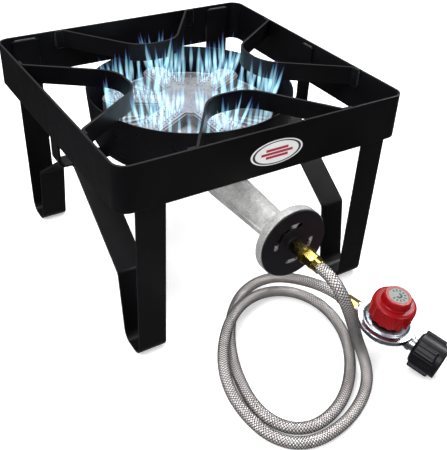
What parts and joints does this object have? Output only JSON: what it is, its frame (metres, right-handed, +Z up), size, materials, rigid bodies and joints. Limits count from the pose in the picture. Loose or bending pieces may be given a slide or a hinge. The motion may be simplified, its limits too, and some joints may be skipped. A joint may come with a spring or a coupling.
{
  "type": "propane burner stand",
  "caption": "Free-standing square steel outdoor gas burner stand with a round cast burner in a wind shield, mixer tube with air shutter, braided hose and knob regulator.",
  "frame": {"origin": "on the floor at the centre of the four feet, under the middle of the burner", "axes": "+X to the right along the front band (the side with the badge, mixer tube and hose), +Y to the back, +Z up"},
  "size_m": [0.4064, 0.6284, 0.29],
  "materials": {
    "frame_paint": "satin",
    "shield_enamel": "semi-gloss",
    "cast_aluminium": "as cast, sand texture",
    "zinc_steel": "zinc plated",
    "shutter_paint": "satin",
    "aged_brass": "darkened",
    "bright_brass": "bright",
    "steel_braid": "woven stainless wire",
    "black_rubber": "matt",
    "zinc_casting": "satin zinc plating",
    "red_plastic": "gloss",
    "label_grey": "printed",
    "nipple_metal": "satin",
    "black_plastic": "moulded",
    "badge_enamel": "printed oval"
  },
  "bodies": {
    "stand": {"top_band": "frame_paint", "pot_support_front": "frame_paint", "pot_support_right": "frame_paint", "pot_support_rear": "frame_paint", "pot_support_left": "frame_paint", "leg_front_left": "frame_paint", "leg_front_right": "frame_paint", "leg_rear_left": "frame_paint", "leg_rear_right": "frame_paint", "burner_bracket": "frame_paint", "wind_shield": "shield_enamel", "burner_head": "cast_aluminium", "mixer_tube": "cast_aluminium", "mixer_screws": "zinc_steel", "burner_bolt": "zinc_steel", "burner_washer": "zinc_steel", "shutter_locknut": "aged_brass", "orifice_fitting": "aged_brass", "hose_stem_burner": "bright_brass", "hose_ferrule_burner": "bright_brass", "hose_braid": "steel_braid", "hose_liner": "black_rubber", "hose_ferrule_regulator": "bright_brass", "hose_end_fitting": "bright_brass", "regulator_body": "zinc_casting", "regulator_plug": "bright_brass", "diaphragm": "black_rubber", "regulator_bonnet": "zinc_casting", "regulator_crimp_ring": "zinc_casting", "diaphragm_plate": "zinc_steel", "range_spring": "zinc_steel", "poppet_spring": "zinc_steel", "inlet_nipple": "nipple_metal", "inlet_seal": "black_rubber", "plunger_spring": "zinc_steel", "badge": "badge_enamel"},
    "knob": {"knob": "red_plastic", "knob_label": "label_grey", "adjusting_screw": "zinc_steel"},
    "button": {"spring_button": "zinc_steel"},
    "valve": {"valve_poppet": "bright_brass"},
    "plunger": {"excess_flow_plunger": "bright_brass"},
    "coupling_nut": {"coupling_nut": "black_plastic"},
    "flare_nut": {"flare_nut": "bright_brass"},
    "shutter": {"air_shutter": "shutter_paint"}
  },
  "joints": [
    {"name": "knob_turn", "type": "hinge", "parent": "stand", "child": "knob", "pos_m": [0.10184, -0.33494, 0.0405], "axis": [0.0622, -0.1621, 0.9848], "range_deg": [-720, 720]},
    {"name": "button_slide", "type": "slide", "parent": "stand", "child": "button", "axis": [0.0622, -0.1621, 0.9848], "range_m": [-0.00301, 0.00301], "deforming": ["range_spring"]},
    {"name": "valve_open", "type": "slide", "parent": "stand", "child": "valve", "axis": [-0.0622, 0.1621, -0.9848], "range_m": [0, 0.0015], "deforming": ["poppet_spring"]},
    {"name": "plunger_push", "type": "slide", "parent": "stand", "child": "plunger", "axis": [-0.3529, 0.9194, 0.1736], "range_m": [0, 0.0035], "deforming": ["plunger_spring"]},
    {"name": "coupling_nut_turn", "type": "hinge", "parent": "stand", "child": "coupling_nut", "pos_m": [0.10184, -0.33494, 0.0405], "axis": [0.3529, -0.9194, -0.1736], "continuous": true},
    {"name": "flare_nut_turn", "type": "hinge", "parent": "stand", "child": "flare_nut", "pos_m": [0, -0.29, 0.158], "axis": [0, -1, 0], "continuous": true},
    {"name": "shutter_turn", "type": "hinge", "parent": "stand", "child": "shutter", "pos_m": [0, -0.2571, 0.158], "axis": [0, -1, 0], "continuous": true}
  ],
  "couplings": [
    {"joint": "button_slide", "follows": "knob_turn", "m_per_rad": 0.00023873}
  ]
}
